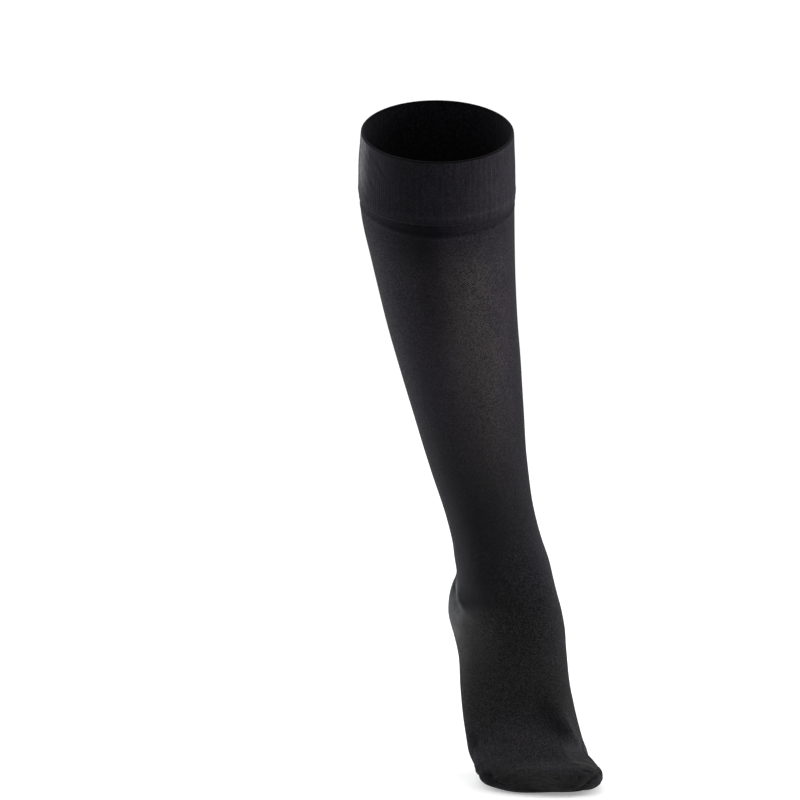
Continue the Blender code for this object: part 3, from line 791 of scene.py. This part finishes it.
near_band = 0.42 + 0.58 * smooth(below, 7.0, 42.0)
inner = smooth(wrapped(turns, math.radians(350)), -0.45, 0.45)
tube_bm = grid_bmesh(points, along, turns, {
    # painted sheen and highlights with the paleness of stretched knit, less of it in the strip below the band and
    # near the band
    "stretch_sheen": stretch_sheen_field(along, turns) * (1 - strip * (1 - 0.5 * inner)) * near_band,
    # painted shade: the strip below the band and a line under it, the table's patches, and the crease hollows
    "painted_shade": np.clip((0.35 - 0.27 * inner) * strip + 0.20 * bell(below - strip_width(turns), 1.5)
                     + painted_shade_field(along, turns) + 0.35 * hollow, 0, 0.9),
    "gore": np.zeros_like(along),
    # painted highlights, from their table
    "painted_highlight": patches(along, turns, PAINTED_HIGHLIGHTS),
    "cool": patches(along, turns, COOL),
    "calm": patches(along, turns, CALM),
    "plain": smooth(along, 220.0, 345.0),
}, WALES, cap=True)

for gore, reach in ((HEEL, 6.0), (TOE, 6.0)):
    for which in (0, 1):
        for shift in (-2.4, -1.2, -0.5, 0.0, 0.5, 1.2, 2.4):
            level_cut(tube_bm, gore, which, shift, reach)

# ridges and grooves along the gore lines, with a painted highlight beside each line and painted shade in its groove
tube_bm.normal_update()
gore_highlight_layer = tube_bm.verts.layers.float["gore"]
painted_shade_layer = tube_bm.verts.layers.float["painted_shade"]
all_verts = list(tube_bm.verts)
co = np.array([v.co for v in all_verts])
no = np.array([v.normal for v in all_verts])
moved = np.zeros(len(co))
tone = np.zeros(len(co))
dim = np.zeros(len(co))
for gore, proud, glow in ((HEEL, 0.20, 0.8), (TOE, 0.12, 0.30)):
    a, b = gore.depths(co)
    inside = np.minimum(a, b)                       # > 0 in the pocket
    local = np.abs(inside) < 12
    first = (a < b)
    moved += np.where(inside > 0, proud * smooth(inside, 0.3, 1.6), 0.0)
    ridge = 0.20 if gore is HEEL else 0.16
    clear = 0.12 + 0.88 * (smooth(fitter(co)[:, 2], -12.0, 14.0) if gore is HEEL
                           else smooth(fitter(co)[:, 2], 0.0, 22.0))
    moved += clear * (ridge * bell(inside + 1.1, 0.8) - 0.30 * bell(inside - 0.15, 0.55))
    strength = np.where(first, 1.0, 0.35) if gore is HEEL else np.where(first, 0.3, 1.0)
    # tone is a painted highlight beside the gore line; dim is painted shade just inside it
    tone += clear * glow * strength * bell(inside + 1.5, 1.5) * local
    dim += clear * 0.7 * bell(inside - 0.5, 1.0) * local
for v, m, t, d, n in zip(all_verts, moved, tone, dim, no):
    if abs(m) > 1e-5:
        v.co = v.co + Vector(n) * (m * MM)
    v[gore_highlight_layer] = min(1.0, t)
    v[painted_shade_layer] = min(1.0, v[painted_shade_layer] + d)
tube_bm.normal_update()


def in_gore(gore):
    def test(c):
        a, b = gore.depths(c)
        return (a > 0) & (b > 0)
    return test


heel_bm = keep_faces(tube_bm, in_gore(HEEL))
toe_bm = keep_faces(tube_bm, in_gore(TOE))
leg_bm = keep_faces(tube_bm, lambda c: ~in_gore(HEEL)(c) & ~in_gore(TOE)(c))


def rim_loops(bm):
    """The boundary vertices of a piece, in order, as point and normal arrays."""
    rim = [e for e in bm.edges if e.is_boundary]
    nexts = {}
    for e in rim:
        for a, b in (e.verts, reversed(list(e.verts))):
            nexts.setdefault(a, []).append(b)
    loops, seen = [], set()
    for start in sorted(nexts, key=lambda v: tuple(v.co)):
        if start in seen:
            continue
        loop, here, before = [start], start, None
        seen.add(start)
        while True:
            options = [v for v in nexts[here] if v is not before and v not in seen]
            if not options:
                break
            before, here = here, options[0]
            seen.add(here)
            loop.append(here)
        loops.append((np.array([v.co for v in loop]), np.array([v.normal for v in loop])))
    return [l for l in loops if len(l[0]) > 12]


heel_rims, toe_rims = rim_loops(heel_bm), rim_loops(toe_bm)
tube_bm.free()

leg = mesh_object("leg_and_foot_knit", leg_bm)
heel = mesh_object("heel_pocket_knit", heel_bm)
toe = mesh_object("toe_cap_knit", toe_bm)
for ob, mat, wall in ((leg, leg_mat, 1.2), (heel, pocket_mat, 1.4), (toe, toe_mat, 1.4)):
    ob.data.materials.append(mat)
    add_wall(ob, wall)

# ---------------------------------------------------------------- gore stitches
def capsule(rings=5, count=8):
    """A small rounded grain, 1 long in x, 1 wide in y and z, with closed ends."""
    pts, faces = [(-0.5, 0.0, 0.0)], []
    for i in range(1, rings + 1):
        a = math.pi * i / (rings + 1)
        for k in range(count):
            b = 2 * math.pi * k / count
            pts.append((-0.5 * math.cos(a), 0.5 * math.sin(a) * math.cos(b), 0.5 * math.sin(a) * math.sin(b)))
    pts.append((0.5, 0.0, 0.0))
    for k in range(count):
        faces.append((0, 1 + (k + 1) % count, 1 + k))
        for i in range(rings - 1):
            a, b = 1 + i * count, 1 + (i + 1) * count
            faces.append((a + k, a + (k + 1) % count, b + (k + 1) % count, b + k))
        last = 1 + (rings - 1) * count
        faces.append((last + k, last + (k + 1) % count, len(pts) - 1))
    return np.array(pts), faces


def stitches(name, rims, spacing, size, lean, lift, yarn):
    """Grains of yarn laid side by side along a rim, each leaning across the line."""
    grain, grain_faces = capsule()
    verts, faces = [], []
    for co_rim, no_rim in rims:
        closed = np.vstack([co_rim, co_rim[:1]])
        norms = np.vstack([no_rim, no_rim[:1]])
        steps = np.linalg.norm(np.diff(closed, axis=0), axis=1) / MM
        at = np.concatenate([[0.0], np.cumsum(steps)])
        count = int(at[-1] / spacing)
        where = np.arange(count) * at[-1] / count
        p = np.stack([np.interp(where, at, closed[:, i]) for i in range(3)], -1)
        n = np.stack([np.interp(where, at, norms[:, i]) for i in range(3)], -1)
        n /= np.linalg.norm(n, axis=1, keepdims=True)
        t = np.roll(p, -1, 0) - np.roll(p, 1, 0)
        t -= n * np.sum(t * n, 1, keepdims=True)
        t /= np.linalg.norm(t, axis=1, keepdims=True)
        b = np.cross(n, t)
        sunk = lift - 0.30 * (1 - smooth(fitter(p)[:, 2], -10.0, 10.0))
        for j in range(count):
            a = math.radians(lean + 9 * math.sin(j * 2.4) + 5 * math.sin(j * 0.7))
            ex = t[j] * math.cos(a) + b[j] * math.sin(a)
            ey = -t[j] * math.sin(a) + b[j] * math.cos(a)
            scale = 1 + 0.12 * math.sin(j * 1.9)
            q = (grain * np.array(size) * scale) @ np.stack([ex, ey, n[j]]) * MM
            start = len(verts)
            verts.extend((p[j] + n[j] * sunk[j] * MM + q).tolist())
            faces.extend([tuple(start + i for i in f) for f in grain_faces])
    mesh = bpy.data.meshes.new(name)
    mesh.from_pydata(verts, [], faces)
    mesh.shade_smooth()
    mesh.materials.append(yarn)
    ob = bpy.data.objects.new(name, mesh)
    bpy.context.scene.collection.objects.link(ob)
    return ob


heel_stitches = stitches("heel_gore_stitches", heel_rims, 1.55, (1.45, 0.50, 0.32), 38, 0.0, heel_yarn)
toe_stitches = stitches("toe_gore_stitches", toe_rims, 1.7, (1.6, 0.66, 0.46), 34, 0.06, toe_yarn)

# ---------------------------------------------------------------- top band
RIBS = 172
BAND_AROUND = RIBS * 4
b_turns = 2 * math.pi * np.arange(BAND_AROUND) / BAND_AROUND
edge_len = band_edge(b_turns)
outer_share = np.concatenate([np.linspace(0.028, 0.86, 24), np.linspace(0.885, 0.985, 6)])
inner_share = outer_share[::-1][::2]


def band_out(s, turn, share, dents):
    """How far the band's outer face stands out, in mm: bulge, rib, creases, low roll."""
    rib = 0.5 + 0.5 * np.cos(turn * RIBS)
    fade = smooth(share, 0.0, 0.10) * (1 - smooth(share, 0.93, 1.0))
    bulge = 0.12 * np.sin(np.clip(share, 0, 1) * math.pi) ** 0.8
    roll = 0.30 * bell(share - 0.865, 0.05) - 0.18 * bell(share - 0.955, 0.022)
    dents = dents + 0.6 * ripple(s * 1.6 + 40, turn)
    return 0.5 + bulge + roll + dents * smooth(share, 0.0, 0.08) * (1 - smooth(share, 0.9, 1.0)) + (0.17 * rib - 0.08) * fade


rows_p, rows_a, rows_f = [], [], {"stretch_sheen": [], "painted_shade": [], "gore": []}
T = np.broadcast_to(b_turns, (len(outer_share), BAND_AROUND))
S = outer_share[:, None] * edge_len[None, :]
base_b = tube(S, T)
normal_b = normals_of(base_b)
dents_b = crease_field(base_b, normal_b, BAND_CREASES)
rows_out = base_b + normal_b * band_out(S, T, outer_share[:, None], dents_b)[..., None] * MM
share_b = outer_share[:, None] * np.ones_like(T)
# painted sheen on the band: most on the side where the light falls, some at the back and the front
light_side = np.exp(-((wrapped(T, math.radians(262)) / math.radians(22)) ** 2)) * (1 - 0.7 * smooth(share_b, 0.35, 0.85))
back_side = np.exp(-((wrapped(T, math.radians(120)) / math.radians(60)) ** 2))
front_side = np.exp(-((wrapped(T, math.radians(26)) / math.radians(36)) ** 2))
band_stretch_sheen = 0.60 * light_side + 0.30 * back_side + 0.60 * front_side
# painted highlights: the lit rim on one side, and a thin line along the roll above the lower edge
band_painted_highlight = 0.50 * (1 - smooth(wrapped(T, math.radians(262)), -0.10, 0.26)) * smooth(wrapped(T, math.radians(262)), -0.30, -0.04) * (1 - 0.8 * smooth(share_b, 0.45, 0.95))
band_painted_highlight += 0.045 * bell(share_b - 0.875, 0.018) * np.exp(-((wrapped(T, math.radians(20)) / math.radians(45)) ** 2))
# painted shade along the band's lower edge
band_painted_shade = 0.45 * bell(share_b - 0.985, 0.02) + 0.15 * bell(share_b - 0.93, 0.03)
band_calm = 0.65 * np.exp(-((wrapped(T, math.radians(300)) / math.radians(50)) ** 2))

# fold over the top: a half round between the two faces
top_s = S[0]
fold_rows, fold_along = [], []
centre_out = band_out(S[:1], T[:1], outer_share[:1, None], dents_b[:1])[0] - 1.0
ring_dir = normals_of(tube(np.stack([top_s, top_s + 2.0]), T[:2]))[0]
down = tube(top_s + 1.0, b_turns) - tube(top_s, b_turns)
down /= np.linalg.norm(down, axis=1, keepdims=True)
centre_pts = tube(top_s, b_turns) + ring_dir * (centre_out * MM)[:, None]
for a in np.linspace(0, 180, 8)[1:-1]:
    c, q = math.cos(math.radians(a)), math.sin(math.radians(a))
    fold_rows.append(centre_pts + (ring_dir * c - down * q * 1.05) * 1.0 * MM)
    fold_along.append(top_s - q * 1.2)
fold_rows = np.array(fold_rows)

# inner face, with the same ribs seen from behind
Si = inner_share[::-1][:, None] * edge_len[None, :]
Ti = np.broadcast_to(b_turns, Si.shape)
base_i = tube(Si, Ti)
normal_i = normals_of(base_i)
inner_out = -1.5 + 0.10 * np.cos(Ti * RIBS) + 0.5 * crease_field(base_i, normal_i, BAND_CREASES)
inner_rows = base_i + normal_i * inner_out[..., None] * MM

profile = np.concatenate([rows_out[::-1], fold_rows, inner_rows])
p_along = np.concatenate([S[::-1], np.array(fold_along), Si])
zeros = np.zeros_like
f_stretch_sheen = np.concatenate([band_stretch_sheen[::-1], zeros(np.array(fold_along)), zeros(Si)])
# painted shade: heavy on the top fold, light on the inner face
f_painted_shade = np.concatenate([band_painted_shade[::-1], 0.85 + zeros(np.array(fold_along)), 0.25 + zeros(Si)])
f_calm = np.concatenate([band_calm[::-1], zeros(np.array(fold_along)), zeros(Si)])
f_painted_highlight = np.concatenate([band_painted_highlight[::-1], zeros(np.array(fold_along)), zeros(Si)])
band_bm = grid_bmesh(profile, p_along, np.broadcast_to(b_turns, p_along.shape),
                     {"stretch_sheen": f_stretch_sheen, "painted_shade": f_painted_shade, "gore": zeros(p_along), "painted_highlight": f_painted_highlight,
                      "calm": f_calm}, RIBS)
# close the lower edge between the outer and the inner face
uv = band_bm.loops.layers.uv["knit"]
band_bm.verts.ensure_lookup_table()
first = band_bm.verts[:BAND_AROUND]
last = band_bm.verts[-BAND_AROUND:]
for k in range(BAND_AROUND):
    n = (k + 1) % BAND_AROUND
    f = band_bm.faces.new((first[k], first[n], last[n], last[k]))
    f.smooth = True
    for loop in f.loops:
        loop[uv].uv = (k / BAND_AROUND * RIBS, 0.0)
bmesh.ops.recalc_face_normals(band_bm, faces=band_bm.faces)
band = mesh_object("top_band_knit", band_bm)
band.data.materials.append(band_mat)

# ---------------------------------------------------------------- frame
for ob in (leg, heel, toe, heel_stitches, toe_stitches, band):
    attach(ob, ROOT)
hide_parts("leg", "foot")
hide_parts("heel_pocket")
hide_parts("toe_cap")
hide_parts("top_band")

# ---------------------------------------------------------------- stage
FLOOR_Z = (0.0 - GRIP[0]) * MM - 0.0004


def stage_material():
    g = Graph("stage_white")
    noise = g.node("ShaderNodeTexNoise", {"Scale": 3.0, "Detail": 2.0}).outputs[0]
    g.set(g.shader.inputs["Base Color"], g.mix(noise, (0.93, 0.93, 0.94, 1.0), (0.95, 0.95, 0.95, 1.0)))
    g.set(g.shader.inputs["Roughness"], 0.9)
    g.shader.inputs["Specular IOR Level"].default_value = 0.1
    g.shader.inputs["Emission Color"].default_value = (1.0, 1.0, 1.0, 1.0)
    g.shader.inputs["Emission Strength"].default_value = 0.30
    return g.mat


mesh = bpy.data.meshes.new("floor")
size = 40.0
mesh.from_pydata([(-size, -size, FLOOR_Z), (size, -size, FLOOR_Z), (size, size, FLOOR_Z), (-size, size, FLOOR_Z)],
                 [], [(0, 1, 2, 3)])
mesh.materials.append(stage_material())
floor = bpy.data.objects.new("floor", mesh)
bpy.context.scene.collection.objects.link(floor)

world_data = bpy.data.worlds.new("studio")
world_data.use_nodes = True
world_data.node_tree.nodes["Background"].inputs[0].default_value = (1.0, 1.0, 1.0, 1.0)
world_data.node_tree.nodes["Background"].inputs[1].default_value = 0.8
bpy.context.scene.world = world_data


def area_light(name, place, target, size_x, size_y, power, colour=(1, 1, 1)):
    data = bpy.data.lights.new(name, "AREA")
    data.shape, data.size, data.size_y = "RECTANGLE", size_x, size_y
    data.energy, data.color = power, colour
    ob = bpy.data.objects.new(name, data)
    ob.location = place
    ob.rotation_mode = "QUATERNION"
    ob.rotation_quaternion = (Vector(target) - Vector(place)).to_track_quat("-Z", "Y")
    bpy.context.scene.collection.objects.link(ob)
    return ob


CAMERA_AZ = math.radians(-23.0173)


def around(azimuth_from_camera, distance, height):
    """A place round the stocking: 0 is the camera's side, 90 to the picture's right."""
    a = CAMERA_AZ + math.radians(azimuth_from_camera)
    return (0.03 + distance * math.sin(a), 0.02 - distance * math.cos(a), height)


MIDDLE = (0.03, 0.02, -0.2)
area_light("left_box", around(-112, 1.5, -0.05), MIDDLE, 0.5, 1.2, 15.0, (0.97, 0.98, 1.0))
area_light("right_box", around(98, 1.5, 0.25), MIDDLE, 0.5, 1.2, 12.4, (1.0, 0.97, 1.0))
area_light("back_box", around(180, 1.8, 0.9), MIDDLE, 1.4, 0.8, 5.0)

# ---------------------------------------------------------------- camera
cam_data = bpy.data.cameras.new("camera")
cam_data.sensor_width = 36.0
cam_data.lens = 4027.78 / 800.0 * 36.0
cam_data.clip_start, cam_data.clip_end = 0.05, 100.0
cam = bpy.data.objects.new("camera", cam_data)
CAMERA_AT = Vector((-1.12572903, -2.58406973, 0.20354642))
CAMERA_TO = Vector((-0.00143689, 0.06237459, -0.17367979))
cam.location = CAMERA_AT
cam.rotation_mode = "QUATERNION"
cam.rotation_quaternion = (CAMERA_TO - CAMERA_AT).to_track_quat("-Z", "Y")
bpy.context.scene.collection.objects.link(cam)
bpy.context.scene.camera = cam
bpy.context.scene.view_settings.view_transform = "Standard"
bpy.context.scene.view_settings.look = "None"
